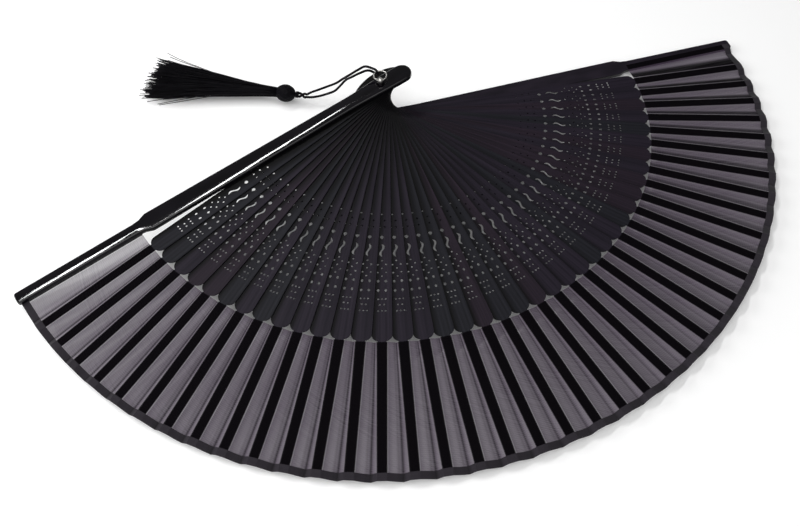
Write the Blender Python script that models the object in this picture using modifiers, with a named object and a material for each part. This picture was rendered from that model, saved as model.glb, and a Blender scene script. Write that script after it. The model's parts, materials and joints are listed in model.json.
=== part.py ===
"""A folding hand fan, open, lying on a flat surface: pierced ribs, two guards, a pleated leaf and a tassel.

Metres, +Z up. The origin is the middle of the rivet's foot. The fan opens towards -Y: the back guard points
to +X and the front guard to -X. The sticks turn about the rivet, whose axis leans a little, and slope down to
their ends, so that the rim of the leaf lies level with the foot.
"""

import math

import bmesh
import bpy
from mathutils import Matrix, Vector

# Sticks
RIB_COUNT = 40
RIB_STEP = math.radians(3.874)
RIB_THICKNESS = 0.00039
STICK_GAP = 0.00012
RIB_TIP_RADIUS = 0.1329
RIB_HALF_WIDTH = 0.0045
RIB_WAIST_HALF_WIDTH = 0.0038
WAIST_RADIUS = 0.020
RIB_TIP_CORNER = 0.0034
SLIP_HALF_WIDTH = 0.0019
SLIP_END_HALF_WIDTH = 0.0017
SLIP_INSET = 0.0012
HEAD_LENGTH = 0.0172
HEAD_HALF_WIDTH = 0.0048

# The wave-shaped slot pierced in each rib
WAVE_RADIUS = 0.0882
WAVE_LENGTH = 0.0066
WAVE_WIDTH = 0.0010
WAVE_SWING = 0.0007

# Guards, which stand a little further out than one step from the ribs beside them
GUARD_EXTRA_STEP = math.radians(1.6)
GUARD_THICKNESS = 0.0026
GUARD_OVERHANG = 0.0011
GUARD_HALF_WIDTH = 0.0051
GUARD_WAIST_HALF_WIDTH = 0.0040
GUARD_SLIP_HALF_WIDTH = 0.0031
GUARD_SHOULDER = 0.0055
GUARD_ROUND = 0.0009
GUARD_END_CORNER = 0.0012

# Leaf
OUTER_RADIUS = 0.1928
LEAF_INSET = 0.0004
LEAF_THICKNESS = 0.00015
LEAF_GAP = 0.00015
LEAF_MARGIN = 0.00025
LEAF_SEAM = 0.0001
PLEAT_DEPTH_INNER = 0.0006
PLEAT_DEPTH_OUTER = 0.0018
VALLEY_INNER = 0.0007
VALLEY_OUTER = 0.0027
BINDING_WIDTH = 0.0033
BINDING_THICKNESS = 0.00025
RIM_REST_HEIGHT = 0.0024

# Rivet
PIN_RADIUS = 0.0012
PIN_CLEARANCE = 0.00025
FOOT_RADIUS = 0.0030
FOOT_THICKNESS = 0.0010
FOOT_GAP = 0.00035
WASHER_RADIUS = 0.0019
WASHER_THICKNESS = 0.0004
WASHER_CLEARANCE = 0.0001
BALL_RADIUS = 0.0014
BALL_HOLE_CLEARANCE = 0.00006

# Ring
RING_RADIUS = 0.0031
RING_WIRE_RADIUS = 0.0003
RING_SPLIT = math.radians(8)
RING_TILT = math.radians(3)
RING_BEARING = math.radians(65)

# Tassel
CORD_RADIUS = 0.00063
CORD_BIGHT_RADIUS = 0.0013
CORD_BEARING = math.radians(40)
CORD_SPACING = 0.003
NECK_RADIUS = 0.0019
NECK_LENGTH = 0.0046
KNOB_RADIUS = 0.0045
KNOB_LENGTH = 0.0105
SKIRT_LENGTH = 0.069
SKIRT_ROOT_RADIUS = 0.0030
SKIRT_END_HALF_WIDTH = 0.0155
SKIRT_END_HALF_HEIGHT = 0.0036
TASSEL_GAP = 0.0003
TASSEL_BEARING = math.radians(143.9)
NECK_PLACE = Vector((-0.0306, 0.0308, 0.0))

# Counts of points on round shapes
HOLE_SIDES = 10
HEAD_STEPS = 6
CORNER_STEPS = 3
ROUND_SIDES = 16

# Worked out from the sizes above
FRONT = RIB_COUNT + 1
HALF_OPENING = RIB_STEP * FRONT / 2 + GUARD_EXTRA_STEP
HOLE_RADIUS = PIN_RADIUS + PIN_CLEARANCE
STACK_PITCH = RIB_THICKNESS + STICK_GAP
BACK_HEIGHT = FOOT_THICKNESS + FOOT_GAP + GUARD_THICKNESS / 2
FIRST_RIB_HEIGHT = BACK_HEIGHT + GUARD_THICKNESS / 2 + STICK_GAP + RIB_THICKNESS / 2
LAST_RIB_HEIGHT = FIRST_RIB_HEIGHT + (RIB_COUNT - 1) * STACK_PITCH
FRONT_HEIGHT = LAST_RIB_HEIGHT + RIB_THICKNESS / 2 + STICK_GAP + GUARD_THICKNESS / 2
MIDDLE_HEIGHT = (FIRST_RIB_HEIGHT + LAST_RIB_HEIGHT) / 2
SLOPE = math.atan((MIDDLE_HEIGHT - RIM_REST_HEIGHT) / OUTER_RADIUS)
RISE = (LAST_RIB_HEIGHT - FIRST_RIB_HEIGHT) / 2
# A spiral rim is nearest to a flat one when it is leaned by about nine tenths of its rise.
LEAN_SHARE = 0.9
LEAN = math.atan(LEAN_SHARE * RISE / (OUTER_RADIUS * math.sin(HALF_OPENING)))
GUARD_END = OUTER_RADIUS + GUARD_OVERHANG
SLIP_END = OUTER_RADIUS - SLIP_INSET
LEAF_INNER = RIB_TIP_RADIUS + LEAF_INSET
BINDING_INNER = OUTER_RADIUS - BINDING_WIDTH
LEAF_OUTER = BINDING_INNER - LEAF_SEAM
WASHER_HEIGHT = FRONT_HEIGHT + GUARD_THICKNESS / 2 + FOOT_GAP
BALL_HEIGHT = WASHER_HEIGHT + WASHER_THICKNESS + BALL_RADIUS
# The ring is curved, so its hole is wider than its wire by the bend of the stretch inside the ball.
RING_BEND = RING_RADIUS - math.sqrt(RING_RADIUS**2 - BALL_RADIUS**2)
BALL_HOLE_RADIUS = RING_WIRE_RADIUS + RING_BEND + BALL_HOLE_CLEARANCE
AXIS_TURN = Matrix.Rotation(-LEAN, 4, "Y")

for old in list(bpy.data.objects):
    bpy.data.objects.remove(old)
scene_root = bpy.context.scene.collection
parts = bpy.data.collections.new("hand_fan")
cutters = bpy.data.collections.new("cutters")
scene_root.children.link(parts)
scene_root.children.link(cutters)


def material(name, colour, roughness, metallic=0.0):
    """One Principled material."""
    made = bpy.data.materials.new(name)
    made.use_nodes = True
    shader = made.node_tree.nodes["Principled BSDF"]
    shader.inputs["Base Color"].default_value = (*colour, 1.0)
    shader.inputs["Roughness"].default_value = roughness
    shader.inputs["Metallic"].default_value = metallic
    return made


RIB_BAMBOO = material("black_stained_bamboo", (0.020, 0.016, 0.022), 0.6)
GUARD_LACQUER = material("black_lacquer", (0.006, 0.005, 0.007), 0.15)
LEAF_FABRIC = material("sheer_black_fabric", (0.12, 0.105, 0.125), 0.8)
BINDING_FABRIC = material("black_edge_tape", (0.022, 0.018, 0.024), 0.7)
STEEL = material("bright_steel", (0.75, 0.75, 0.76), 0.2, 1.0)
SILK = material("black_silk_cord", (0.003, 0.003, 0.005), 0.6)


def link(obj, surface, parent=None):
    """Puts a piece in the fan's collection, under its parent, with its material."""
    parts.objects.link(obj)
    obj.parent = parent
    obj.data.materials.clear()
    obj.data.materials.append(surface)
    return obj


def smooth(mesh):
    mesh.shade_smooth()
    mesh.set_sharp_from_angle(angle=math.radians(35))


def arc(middle, radius, start, end, steps):
    """Points on an arc, both ends included, in degrees."""
    angles = [math.radians(start + (end - start) * i / steps) for i in range(steps + 1)]
    return [(middle[0] + radius * math.cos(a), middle[1] + radius * math.sin(a)) for a in angles]


def mirrored(half):
    """A closed outline from its upper half, which runs from the outer end to the head's last point on y = 0."""
    return half + [(x, -y) for x, y in reversed(half[:-1])]


def circle(radius, sides):
    return [
        (radius * math.cos(math.tau * i / sides), radius * math.sin(math.tau * i / sides)) for i in range(sides)
    ]


def head_arc(half_width, length):
    """The rounded head, as the upper half of a half ellipse."""
    middle = -length + half_width
    return [
        (middle + half_width * math.cos(a), half_width * math.sin(a))
        for a in (math.pi / 2 + math.pi / 2 * i / HEAD_STEPS for i in range(HEAD_STEPS))
    ] + [(-length, 0.0)]


def rib_outline():
    corner = (RIB_TIP_RADIUS - RIB_TIP_CORNER, RIB_HALF_WIDTH - RIB_TIP_CORNER)
    # The rounded shoulder starts where its arc leaves the slip's edge.
    start = math.degrees(math.asin((SLIP_HALF_WIDTH - corner[1]) / RIB_TIP_CORNER))
    half = [(SLIP_END, SLIP_END_HALF_WIDTH)]
    half += arc(corner, RIB_TIP_CORNER, start, 90, CORNER_STEPS)
    half.append((WAIST_RADIUS, RIB_WAIST_HALF_WIDTH))
    return mirrored(half + head_arc(HEAD_HALF_WIDTH, HEAD_LENGTH))


def guard_outline():
    half = arc(
        (GUARD_END - GUARD_END_CORNER, GUARD_SLIP_HALF_WIDTH - GUARD_END_CORNER), GUARD_END_CORNER, 0, 90, CORNER_STEPS
    )
    step = GUARD_HALF_WIDTH - GUARD_SLIP_HALF_WIDTH
    for share in (0.0, 0.3, 0.7, 1.0):
        ease = share * share * (3 - 2 * share)
        half.append((RIB_TIP_RADIUS - share * GUARD_SHOULDER, GUARD_SLIP_HALF_WIDTH + ease * step))
    half.append((WAIST_RADIUS, GUARD_WAIST_HALF_WIDTH))
    return mirrored(half + head_arc(GUARD_HALF_WIDTH, HEAD_LENGTH))


def wave_outline():
    """The slot: one wave along the rib, pointed at both ends."""
    steps = 5
    upper, lower = [], []
    for i in range(1, steps):
        share = i / steps
        x = WAVE_RADIUS + (share - 0.5) * WAVE_LENGTH
        y = WAVE_SWING * math.sin(math.tau * share)
        upper.append((x, y + WAVE_WIDTH / 2))
        lower.append((x, y - WAVE_WIDTH / 2))
    ends = [(WAVE_RADIUS - WAVE_LENGTH / 2, 0.0), (WAVE_RADIUS + WAVE_LENGTH / 2, 0.0)]
    return [ends[0], *lower, ends[1], *reversed(upper)]


def plate(name, outlines, thickness):
    """A flat plate as a filled 2D curve, with its middle plane at z = 0."""
    data = bpy.data.curves.new(name, "CURVE")
    data.dimensions = "2D"
    data.fill_mode = "BOTH"
    data.extrude = thickness / 2
    for outline in outlines:
        spline = data.splines.new("POLY")
        spline.points.add(len(outline) - 1)
        for point, (x, y) in zip(spline.points, outline):
            point.co = (x, y, 0.0, 1.0)
        spline.use_cyclic_u = True
    return data


def mesh_of_curve(data):
    """The closed mesh of a curve's shape."""
    holder = bpy.data.objects.new("curve_holder", data)
    scene_root.objects.link(holder)
    graph = bpy.context.evaluated_depsgraph_get()
    mesh = bpy.data.meshes.new_from_object(holder.evaluated_get(graph))
    bpy.data.objects.remove(holder)
    shape = bmesh.new()
    shape.from_mesh(mesh)
    bmesh.ops.remove_doubles(shape, verts=shape.verts, dist=1e-6)
    shape.to_mesh(mesh)
    shape.free()
    return mesh


def stick_height(k):
    """Height on the rivet of stick k: 0 is the back guard, then the ribs, then the front guard."""
    if k == 0:
        return BACK_HEIGHT
    if k == FRONT:
        return FRONT_HEIGHT
    return FIRST_RIB_HEIGHT + (k - 1) * STACK_PITCH


def stick_turn(k):
    """How far stick k is turned about the rivet."""
    guards_passed = (k > 0) + (k == FRONT)
    return -math.pi / 2 + HALF_OPENING - k * RIB_STEP - guards_passed * GUARD_EXTRA_STEP


def stick_matrix(k):
    """From a stick's own frame, x along it and z through it, to the rivet's frame."""
    turn = Matrix.Rotation(stick_turn(k), 4, "Z") @ Matrix.Rotation(SLOPE, 4, "Y")
    return Matrix.Translation((0, 0, stick_height(k))) @ turn


def place_stick(obj, k):
    obj.location = (0, 0, stick_height(k))
    obj.rotation_euler = (0, SLOPE, stick_turn(k))


def make_guard(name, k, outer_side):
    """A guard: a thick stick whose outer face has rounded edges."""
    data = plate(name, [guard_outline(), circle(HOLE_RADIUS, HOLE_SIDES)], GUARD_THICKNESS)
    mesh = mesh_of_curve(data)
    shape = bmesh.new()
    shape.from_mesh(mesh)
    face_height = outer_side * GUARD_THICKNESS / 2
    rim = []
    for edge in shape.edges:
        on_face = all(abs(v.co.z - face_height) < 1e-6 for v in edge.verts)
        off_hole = all(v.co.xy.length > HOLE_RADIUS * 1.1 for v in edge.verts)
        at_side = any(abs(f.normal.z) < 0.5 for f in edge.link_faces)
        if on_face and off_hole and at_side:
            rim.append(edge)
    bmesh.ops.bevel(shape, geom=rim, offset=GUARD_ROUND, segments=2, profile=0.5, affect="EDGES")
    shape.to_mesh(mesh)
    shape.free()
    smooth(mesh)
    guard = link(bpy.data.objects.new(name, mesh), GUARD_LACQUER, fan_axis)
    place_stick(guard, k)


def leaf_top(k):
    """Height of the leaf's lower face over the middle of stick k."""
    if k == 0:
        return GUARD_THICKNESS / 2 + LEAF_GAP
    if k == FRONT:
        return -GUARD_THICKNESS / 2 - LEAF_GAP - BINDING_THICKNESS
    return RIB_THICKNESS / 2 + LEAF_GAP


def pleat_columns(along):
    """The leaf's section at one radius, as points in the rivet's frame, from the back guard to the front one.

    On each stick the cloth lies flat, then drops to a valley fold beside it and climbs to the next stick.
    """
    share = (along - LEAF_INNER) / (OUTER_RADIUS - LEAF_INNER)
    depth = PLEAT_DEPTH_INNER + share * (PLEAT_DEPTH_OUTER - PLEAT_DEPTH_INNER)
    slip_half_width = SLIP_HALF_WIDTH + share * (SLIP_END_HALF_WIDTH - SLIP_HALF_WIDTH)
    points = []
    for k in range(FRONT + 1):
        half = (GUARD_SLIP_HALF_WIDTH if k in (0, FRONT) else slip_half_width) + LEAF_MARGIN
        edges = [(half, leaf_top(k)), (-half, leaf_top(k))]
        if k == 0:
            edges[0] = (0.0, leaf_top(k))
        if k == FRONT:
            edges[1] = (0.0, leaf_top(k))
        else:
            valley = half + VALLEY_INNER + share * (VALLEY_OUTER - VALLEY_INNER)
            edges.append((-valley, leaf_top(k) - depth))
        matrix = stick_matrix(k)
        points += [matrix @ Vector((along, y, z)) for y, z in edges]
    return points


def make_pleated(name, inner, outer, thickness, surface):
    """A pleated strip between two radii, thickened upwards."""
    shape = bmesh.new()
    rows = [[shape.verts.new(p) for p in pleat_columns(along)] for along in (inner, outer)]
    for i in range(len(rows[0]) - 1):
        shape.faces.new((rows[0][i], rows[0][i + 1], rows[1][i + 1], rows[1][i]))
    bmesh.ops.recalc_face_normals(shape, faces=shape.faces)
    if sum(f.normal.z for f in shape.faces) < 0:
        bmesh.ops.reverse_faces(shape, faces=shape.faces)
    mesh = bpy.data.meshes.new(name)
    shape.to_mesh(mesh)
    shape.free()
    strip = link(bpy.data.objects.new(name, mesh), surface, fan_axis)
    wall = strip.modifiers.new("thickness", "SOLIDIFY")
    wall.thickness = thickness
    wall.offset = 1.0


def turned(name, profile, surface, parent):
    """A round piece from a profile that runs top to bottom at +X."""
    mesh = bpy.data.meshes.new(name)
    points = [(x, 0.0, z) for x, z in profile]
    mesh.from_pydata(points, [(i, i + 1) for i in range(len(points) - 1)], [])
    piece = link(bpy.data.objects.new(name, mesh), surface, parent)
    screw = piece.modifiers.new("turn", "SCREW")
    screw.steps = ROUND_SIDES
    screw.render_steps = ROUND_SIDES
    screw.use_merge_vertices = True
    screw.merge_threshold = 1e-6
    screw.use_smooth_shade = True
    return piece


def make_rivet():
    """Foot, pin and ball head in one turned piece, with a cross hole in the ball for the ring."""
    low = -math.asin(PIN_RADIUS / BALL_RADIUS)
    ball_steps = 6
    profile = []
    for i in range(ball_steps + 1):
        angle = i / ball_steps * (math.pi + low)
        profile.append((BALL_RADIUS * math.sin(angle), BALL_HEIGHT + BALL_RADIUS * math.cos(angle)))
    profile += [(PIN_RADIUS, FOOT_THICKNESS), (FOOT_RADIUS, FOOT_THICKNESS), (FOOT_RADIUS, 0.0), (0.0, 0.0)]
    rivet = turned("rivet", profile, STEEL, fan_axis)
    bpy.ops.mesh.primitive_cylinder_add(
        vertices=HOLE_SIDES, radius=BALL_HOLE_RADIUS, depth=4 * BALL_RADIUS, location=(0, 0, 0)
    )
    cutter = bpy.context.object
    cutter.name = "ring_hole_cutter"
    for collection in list(cutter.users_collection):
        collection.objects.unlink(cutter)
    cutters.objects.link(cutter)
    cutter.parent = fan_axis
    cutter.location = (0, 0, BALL_HEIGHT)
    cutter.rotation_euler = (math.pi / 2, 0, RING_BEARING)
    cutter.hide_render = True
    cutter.display_type = "WIRE"
    cut = rivet.modifiers.new("ring_hole", "BOOLEAN")
    cut.operation = "DIFFERENCE"
    cut.object = cutter


def tube(name, points, radius, surface, parent, resolution=2):
    """A wire or cord along points, with closed ends."""
    data = bpy.data.curves.new(name, "CURVE")
    data.dimensions = "3D"
    data.bevel_depth = radius
    data.bevel_resolution = resolution
    data.use_fill_caps = True
    spline = data.splines.new("POLY")
    spline.points.add(len(points) - 1)
    for point, place in zip(spline.points, points):
        point.co = (*place, 1.0)
    return link(bpy.data.objects.new(name, data), surface, parent)


def smooth_path(points, spacing):
    """A smooth curve through the points, in steps of at most the spacing.

    At each point it heads between the runs before and after, more along the shorter one.
    """
    runs = [(b - a).length for a, b in zip(points, points[1:])]
    ways = [(b - a) / run for a, b, run in zip(points, points[1:], runs)]
    heads = [ways[0]]
    for i in range(1, len(runs)):
        heads.append((ways[i - 1] * runs[i] + ways[i] * runs[i - 1]) / (runs[i - 1] + runs[i]))
    heads.append(ways[-1])
    path = []
    for i, run in enumerate(runs):
        steps = math.ceil(run / spacing)
        for j in range(steps):
            t = j / steps
            place = points[i] * (1 + 2 * t) * (1 - t) ** 2 + points[i + 1] * t * t * (3 - 2 * t)
            path.append(place + run * t * (1 - t) * (heads[i] * (1 - t) - heads[i + 1] * t))
    return [*path, points[-1]]


def make_washer():
    hole = PIN_RADIUS + WASHER_CLEARANCE
    outlines = [circle(WASHER_RADIUS, ROUND_SIDES), circle(hole, ROUND_SIDES)]
    washer = link(bpy.data.objects.new("washer", plate("washer", outlines, WASHER_THICKNESS)), STEEL, fan_axis)
    washer.location = (0, 0, WASHER_HEIGHT + WASHER_THICKNESS / 2)


def make_ring():
    """A split wire ring through the ball. Its parent empty lies in the ball, on the axis that it tilts about."""
    pivot = bpy.data.objects.new("ring_pivot", None)
    parts.objects.link(pivot)
    pivot.parent = fan_axis
    pivot.location = (0, 0, BALL_HEIGHT)
    pivot.rotation_euler = (RING_TILT, 0, RING_BEARING - math.pi / 2)
    steps = 24
    start = RING_SPLIT / 2
    turn = math.tau - RING_SPLIT
    angles = [start + turn * i / steps for i in range(steps + 1)]
    points = [(RING_RADIUS * math.cos(a), RING_RADIUS * (1 + math.sin(a)), 0.0) for a in angles]
    tube("ring", points, RING_WIRE_RADIUS, STEEL, pivot, resolution=1)


def ring_frame():
    """Where the cord turns on the ring: the place, the way out and the ring's normal, in the part's frame."""
    turn = Matrix.Rotation(RING_BEARING - math.pi / 2, 4, "Z") @ Matrix.Rotation(RING_TILT, 4, "X")
    ring = AXIS_TURN @ Matrix.Translation((0, 0, BALL_HEIGHT)) @ turn
    out = Vector((-math.sin(CORD_BEARING), math.cos(CORD_BEARING), 0.0))
    place = ring @ (Vector((0, RING_RADIUS, 0)) + RING_RADIUS * out)
    return place, (ring.to_3x3() @ out), (ring.to_3x3() @ Vector((0, 0, 1)))


def make_cord():
    """One cord: up one strand from the neck, round the ring's wire and back down the other strand."""
    place, out, normal = ring_frame()
    bight_steps = 6
    bight = []
    for i in range(bight_steps + 1):
        angle = math.pi * i / bight_steps
        bight.append(place + CORD_BIGHT_RADIUS * (math.cos(angle) * normal - math.sin(angle) * out))
    upper = [
        Vector((-0.0024, 0.0074, 0.0313)),
        Vector((-0.0046, 0.0094, 0.0316)),
        Vector((-0.0080, 0.0119, 0.0286)),
        Vector((-0.0109, 0.0154, 0.0238)),
        Vector((-0.0132, 0.0198, 0.0182)),
        Vector((-0.0154, 0.0235, 0.0132)),
        Vector((-0.0192, 0.0275, 0.0088)),
        Vector((-0.0237, 0.0297, 0.0064)),
        Vector((-0.0277, 0.0309, 0.0050)),
    ]
    lower = [
        Vector((-0.0031, 0.0086, 0.0290)),
        Vector((-0.0077, 0.0116, 0.0264)),
        Vector((-0.0105, 0.0139, 0.0234)),
        Vector((-0.0124, 0.0176, 0.0190)),
        Vector((-0.0144, 0.0207, 0.0134)),
        Vector((-0.0168, 0.0230, 0.0088)),
        Vector((-0.0201, 0.0260, 0.0054)),
        Vector((-0.0247, 0.0278, 0.0040)),
        Vector((-0.0279, 0.0287, 0.0040)),
    ]
    neck_start = tassel_matrix() @ Vector((-TASSEL_GAP - CORD_RADIUS, 0, 0))
    side = tassel_matrix().to_3x3() @ Vector((0, CORD_RADIUS * 1.4, 0))
    route = [neck_start - side, *reversed(upper), *bight, *lower, neck_start + side]
    tube("tassel_cord", smooth_path(route, CORD_SPACING), CORD_RADIUS, SILK, None)


def tassel_matrix():
    """From the tassel's own frame, x from the neck to the skirt's end and z up, to the part's frame."""
    place = Matrix.Translation(NECK_PLACE + Vector((0, 0, KNOB_RADIUS)))
    return place @ Matrix.Rotation(TASSEL_BEARING, 4, "Z")


def tassel_piece(name, profile):
    """A round piece of the tassel, turned about the tassel's length."""
    piece = turned(name, profile, SILK, None)
    piece.matrix_world = tassel_matrix() @ Matrix.Rotation(math.pi / 2, 4, "Y")


def make_tassel():
    """Wrapped neck, ball knob and flattened skirt, lying on the surface."""
    far = NECK_LENGTH
    tassel_piece("tassel_neck", [(0.0, far), (NECK_RADIUS, far), (NECK_RADIUS, 0.0), (0.0, 0.0)])
    knob_start = NECK_LENGTH + TASSEL_GAP
    ball_steps = 8
    ball = []
    for i in range(ball_steps + 1):
        angle = math.pi * i / ball_steps
        ball.append((KNOB_RADIUS * math.sin(angle), knob_start + KNOB_LENGTH / 2 * (1 + math.cos(angle))))
    tassel_piece("tassel_knob", ball)
    skirt_start = knob_start + KNOB_LENGTH + TASSEL_GAP
    sections = 4
    shape = bmesh.new()
    rings = []
    for i in range(sections + 1):
        share = i / sections
        half_width = SKIRT_ROOT_RADIUS + (SKIRT_END_HALF_WIDTH - SKIRT_ROOT_RADIUS) * share**1.2
        half_height = SKIRT_ROOT_RADIUS + (SKIRT_END_HALF_HEIGHT - SKIRT_ROOT_RADIUS) * share
        drop = (KNOB_RADIUS - half_height - TASSEL_GAP) * share
        ring = []
        for y, z in circle(1.0, ROUND_SIDES):
            ring.append(shape.verts.new((skirt_start + share * SKIRT_LENGTH, y * half_width, z * half_height - drop)))
        rings.append(ring)
    for a, b in zip(rings, rings[1:]):
        for i in range(ROUND_SIDES):
            j = (i + 1) % ROUND_SIDES
            shape.faces.new((a[i], a[j], b[j], b[i]))
    shape.faces.new(rings[0])
    shape.faces.new(rings[-1])
    bmesh.ops.recalc_face_normals(shape, faces=shape.faces)
    mesh = bpy.data.meshes.new("tassel_skirt")
    shape.to_mesh(mesh)
    shape.free()
    smooth(mesh)
    skirt = link(bpy.data.objects.new("tassel_skirt", mesh), SILK)
    skirt.matrix_world = tassel_matrix()


fan_axis = bpy.data.objects.new("fan_axis", None)
parts.objects.link(fan_axis)
fan_axis.rotation_euler = (0, -LEAN, 0)

make_guard("back_guard", 0, -1)
rib_plate = plate("rib_plate", [rib_outline(), circle(HOLE_RADIUS, HOLE_SIDES), wave_outline()], RIB_THICKNESS)
for number in range(1, RIB_COUNT + 1):
    rib = link(bpy.data.objects.new(f"rib_{number:02d}", rib_plate), RIB_BAMBOO, fan_axis)
    place_stick(rib, number)
make_guard("front_guard", FRONT, 1)
make_pleated("leaf", LEAF_INNER, LEAF_OUTER, LEAF_THICKNESS, LEAF_FABRIC)
make_pleated("leaf_binding", BINDING_INNER, OUTER_RADIUS, BINDING_THICKNESS, BINDING_FABRIC)
make_rivet()
make_washer()
make_ring()
make_cord()
make_tassel()

bpy.context.view_layer.update()
print("opening angle, degrees:", round(math.degrees(2 * HALF_OPENING), 2))
print("slope and lean of the sticks, degrees:", round(math.degrees(SLOPE), 3), round(math.degrees(LEAN), 3))
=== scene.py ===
# %% [markdown]
# # A folding hand fan, opened on a white table
# The fan is a stack of thin bamboo sticks on one rivet, with a pleated gauze leaf glued to their outer
# ends. The imported model gives every stick its place and its joint, so this script only dresses it: it
# builds a finer mesh for each piece, in metres and in the same frame, and lets it ride on the body that the
# piece belongs to; the cord, the leaf and its tape stay where they are built.

# %% load the imported model
import json
import math
import random

import bmesh
import bpy
from mathutils import Matrix, Vector

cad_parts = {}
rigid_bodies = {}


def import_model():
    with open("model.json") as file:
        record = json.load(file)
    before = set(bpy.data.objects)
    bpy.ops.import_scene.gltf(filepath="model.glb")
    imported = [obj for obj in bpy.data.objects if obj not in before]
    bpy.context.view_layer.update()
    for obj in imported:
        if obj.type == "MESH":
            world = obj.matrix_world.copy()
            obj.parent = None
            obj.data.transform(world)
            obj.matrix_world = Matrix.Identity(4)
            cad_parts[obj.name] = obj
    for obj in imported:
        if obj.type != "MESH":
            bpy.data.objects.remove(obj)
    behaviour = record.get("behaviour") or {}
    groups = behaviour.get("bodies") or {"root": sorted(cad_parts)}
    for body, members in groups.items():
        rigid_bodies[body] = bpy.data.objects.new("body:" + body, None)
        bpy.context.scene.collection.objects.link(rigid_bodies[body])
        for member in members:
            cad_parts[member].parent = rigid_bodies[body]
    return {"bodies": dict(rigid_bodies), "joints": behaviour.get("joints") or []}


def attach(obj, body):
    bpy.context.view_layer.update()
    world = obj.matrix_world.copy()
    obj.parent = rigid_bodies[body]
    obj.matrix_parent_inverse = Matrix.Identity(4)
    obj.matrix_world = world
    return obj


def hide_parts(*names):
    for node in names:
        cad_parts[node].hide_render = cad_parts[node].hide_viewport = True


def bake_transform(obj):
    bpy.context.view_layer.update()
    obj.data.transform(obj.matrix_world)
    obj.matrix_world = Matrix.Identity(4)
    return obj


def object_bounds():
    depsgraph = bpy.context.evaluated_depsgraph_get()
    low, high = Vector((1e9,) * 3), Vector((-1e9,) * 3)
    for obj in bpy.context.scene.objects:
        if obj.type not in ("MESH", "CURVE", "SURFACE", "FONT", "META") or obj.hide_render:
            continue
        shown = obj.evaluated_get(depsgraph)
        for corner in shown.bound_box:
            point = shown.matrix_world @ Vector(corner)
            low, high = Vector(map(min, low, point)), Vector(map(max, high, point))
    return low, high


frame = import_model()
cad_low, cad_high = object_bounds()
print("CAD box, mm:", [round(1000 * side, 1) for side in cad_high - cad_low])

# %% [markdown]
# ## Where the sticks are
# Stick 0 is the back guard, sticks 1 to 40 are the ribs and stick 41 is the front guard. Each is turned a
# little further about the rivet and lies one thickness higher than the one before it; the two guards stand
# a little further out than one step. All of them slope down from the rivet to the table, so an open fan is
# a shallow cone. The opening and the rivet's lean are read from the fold joint; the other sizes repeat
# those of the solids.

# %% the stack of sticks
fold = next(joint for joint in frame["joints"] if joint["name"] == "fold")
RIB_COUNT = sum(name.startswith("rib_") for name in frame["bodies"])
FRONT = RIB_COUNT + 1
OPENING = math.radians(fold["range_deg"][1])
GUARD_EXTRA_STEP = math.radians(1.6)
RIB_STEP = (OPENING - 2 * GUARD_EXTRA_STEP) / FRONT
LEAN = math.atan2(-fold["axis"][0], fold["axis"][2])
AXIS_TURN = Matrix.Rotation(-LEAN, 4, "Y")
RIB_THICKNESS = 0.00039
STICK_GAP = 0.00012
GUARD_THICKNESS = 0.0026
FOOT_THICKNESS = 0.0010
FOOT_GAP = 0.00035
OUTER_RADIUS = 0.1928
RIM_REST_HEIGHT = 0.0024
BACK_HEIGHT = FOOT_THICKNESS + FOOT_GAP + GUARD_THICKNESS / 2
FIRST_RIB_HEIGHT = BACK_HEIGHT + GUARD_THICKNESS / 2 + STICK_GAP + RIB_THICKNESS / 2
LAST_RIB_HEIGHT = FIRST_RIB_HEIGHT + (RIB_COUNT - 1) * (RIB_THICKNESS + STICK_GAP)
FRONT_HEIGHT = LAST_RIB_HEIGHT + RIB_THICKNESS / 2 + STICK_GAP + GUARD_THICKNESS / 2
SLOPE = math.atan(((FIRST_RIB_HEIGHT + LAST_RIB_HEIGHT) / 2 - RIM_REST_HEIGHT) / OUTER_RADIUS)


def stick_height(k):
    """How high stick k sits on the rivet."""
    if k == 0:
        return BACK_HEIGHT
    if k == FRONT:
        return FRONT_HEIGHT
    return FIRST_RIB_HEIGHT + (k - 1) * (RIB_THICKNESS + STICK_GAP)


def stick_swing(k):
    """How far stick k has swung out from the back guard."""
    guards_passed = (k > 0) + (k == FRONT)
    return k * RIB_STEP + guards_passed * GUARD_EXTRA_STEP


def stick_place(k):
    """From stick k's own frame, x along it from the rivet and z through it, to the part's frame."""
    turn = Matrix.Rotation(OPENING / 2 - math.pi / 2 - stick_swing(k), 4, "Z")
    lift = Matrix.Translation((0, 0, stick_height(k)))
    return AXIS_TURN @ lift @ turn @ Matrix.Rotation(SLOPE, 4, "Y")


print("ribs:", RIB_COUNT, "step, degrees:", round(math.degrees(RIB_STEP), 3))

# %% [markdown]
# ## Camera
# The camera was worked out from the picture: it sees the stick ends, the wave slots and the rivet of this
# fan where the picture has them. It looks down by 55 degrees from the lower left. Its focal length is kept
# in pixels of the 800 pixel wide picture and turned into millimetres for Blender's 36 mm sensor.

# %% camera
CAMERA_PLACE = (-0.1318, -0.3021, 0.3427)
CAMERA_TURN = (35.176, 0.570, -25.557)
FOCAL_PIXELS = 924.3
IMAGE_WIDTH = 800
SENSOR_WIDTH = 36.0


def add_object(name, data):
    """A new object in the scene."""
    made = bpy.data.objects.new(name, data)
    bpy.context.scene.collection.objects.link(made)
    return made


camera_data = bpy.data.cameras.new("camera")
camera_data.sensor_fit = "HORIZONTAL"
camera_data.sensor_width = SENSOR_WIDTH
camera_data.lens = FOCAL_PIXELS * SENSOR_WIDTH / IMAGE_WIDTH
camera = add_object("camera", camera_data)
camera.location = CAMERA_PLACE
camera.rotation_euler = [math.radians(angle) for angle in CAMERA_TURN]
bpy.context.scene.camera = camera
bpy.context.scene.view_settings.view_transform = "Standard"
print("lens, mm:", round(camera_data.lens, 2))

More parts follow.
